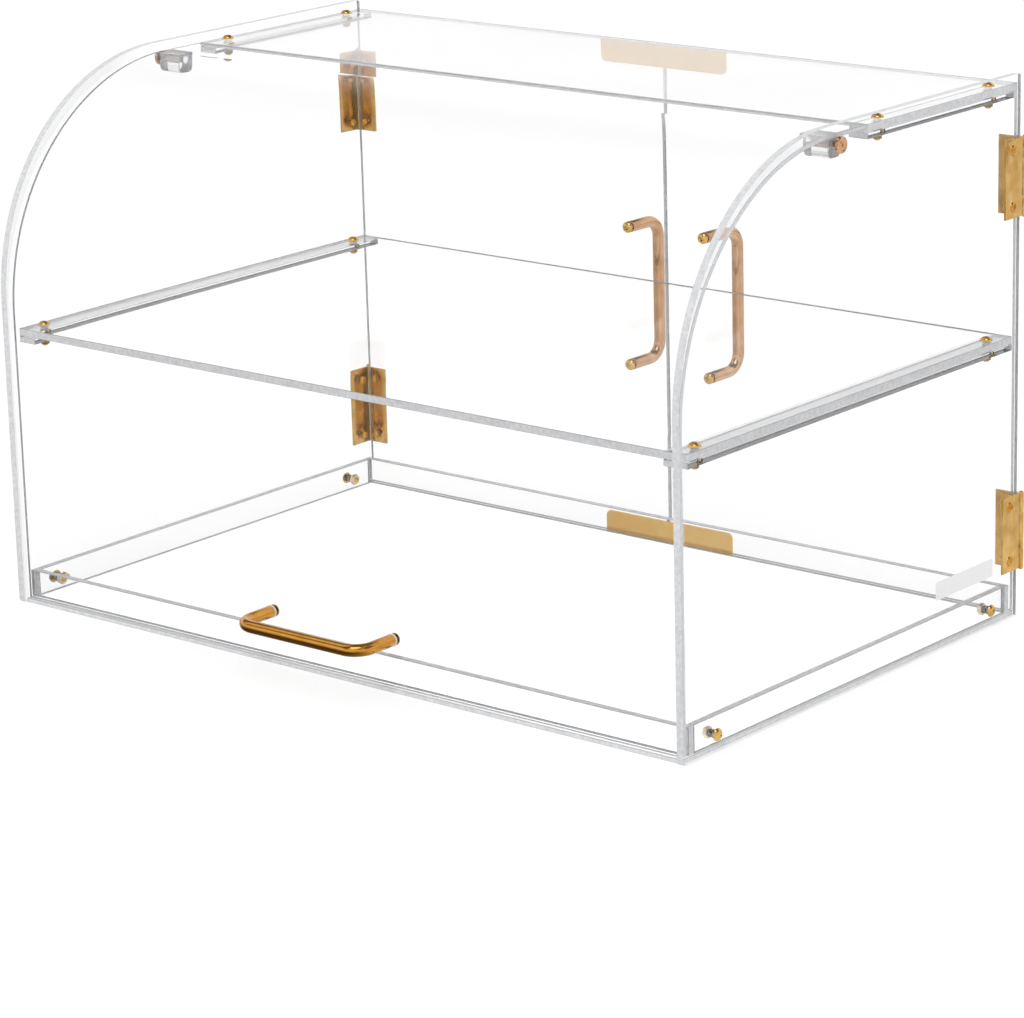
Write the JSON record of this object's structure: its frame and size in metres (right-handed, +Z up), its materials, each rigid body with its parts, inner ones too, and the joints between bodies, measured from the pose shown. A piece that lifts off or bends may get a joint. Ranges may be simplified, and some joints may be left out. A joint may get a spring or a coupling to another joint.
{
  "type": "display case",
  "caption": "Clear acrylic countertop display case: shelf, tray floor, quarter-round front cover that flips up on screw pivots, and hinged rear doors with bar handles.",
  "frame": {"origin": "on the table, at the middle of the case's rectangular footprint between the front and rear edges of its side panels", "axes": "+X to the right seen from the front, +Y from the curved front towards the doors, +Z up"},
  "size_m": [0.5668, 0.4236, 0.356],
  "materials": {
    "clear_acrylic": "clear, polished",
    "polished_gold": "polished",
    "rose_gold": "polished",
    "satin_brass": "satin"
  },
  "bodies": {
    "case": {"side_panel_left": "clear_acrylic", "side_panel_right": "clear_acrylic", "base_plate": "clear_acrylic", "tray_wall_front": "clear_acrylic", "tray_wall_rear": "clear_acrylic", "tray_wall_left": "clear_acrylic", "tray_wall_right": "clear_acrylic", "top_panel": "clear_acrylic", "top_rail_left": "clear_acrylic", "top_rail_right": "clear_acrylic", "shelf": "clear_acrylic", "shelf_rail_left": "clear_acrylic", "shelf_rail_right": "clear_acrylic", "stop_plate_lower": "polished_gold", "stop_plate_upper": "polished_gold", "top_screw_left_front": "polished_gold", "top_screw_left_rear": "polished_gold", "top_screw_right_front": "polished_gold", "top_screw_right_rear": "polished_gold", "shelf_screw_left_front": "polished_gold", "shelf_screw_left_rear": "polished_gold", "shelf_screw_right_front": "polished_gold", "shelf_screw_right_rear": "polished_gold", "tray_screw_left_front": "polished_gold", "tray_screw_left_rear": "polished_gold", "tray_screw_right_front": "polished_gold", "tray_screw_right_rear": "polished_gold", "tray_nut_left_front": "polished_gold", "tray_nut_left_rear": "polished_gold", "tray_nut_right_front": "polished_gold", "tray_nut_right_rear": "polished_gold", "hinge_left_lower_side_leaf": "satin_brass", "hinge_left_lower_pin": "satin_brass", "hinge_left_upper_side_leaf": "satin_brass", "hinge_left_upper_pin": "satin_brass", "hinge_right_lower_side_leaf": "satin_brass", "hinge_right_lower_pin": "satin_brass", "hinge_right_upper_side_leaf": "satin_brass", "hinge_right_upper_pin": "satin_brass"},
    "cover": {"front_cover": "clear_acrylic", "pivot_block_left": "clear_acrylic", "pivot_block_right": "clear_acrylic", "pivot_screw_left": "rose_gold", "pivot_screw_right": "rose_gold", "front_handle": "polished_gold", "front_handle_screw_left": "polished_gold", "front_handle_screw_right": "polished_gold"},
    "left_door": {"door_left": "clear_acrylic", "door_handle_left": "rose_gold", "door_handle_screw_left_lower": "polished_gold", "door_handle_screw_left_upper": "polished_gold", "hinge_left_lower_door_leaf": "satin_brass", "hinge_left_upper_door_leaf": "satin_brass"},
    "right_door": {"door_right": "clear_acrylic", "door_handle_right": "rose_gold", "door_handle_screw_right_lower": "polished_gold", "door_handle_screw_right_upper": "polished_gold", "hinge_right_lower_door_leaf": "satin_brass", "hinge_right_upper_door_leaf": "satin_brass"}
  },
  "joints": [
    {"name": "front_cover_flip", "type": "hinge", "parent": "case", "child": "cover", "pos_m": [0, -0.019, 0.3435], "axis": [-1, 0, 0], "range_deg": [0, 160]},
    {"name": "left_door_swing", "type": "hinge", "parent": "case", "child": "left_door", "pos_m": [-0.2816, 0.1801, 0], "axis": [0, 0, 1], "range_deg": [0, 250]},
    {"name": "right_door_swing", "type": "hinge", "parent": "case", "child": "right_door", "pos_m": [0.2816, 0.1801, 0], "axis": [0, 0, -1], "range_deg": [0, 250]}
  ]
}
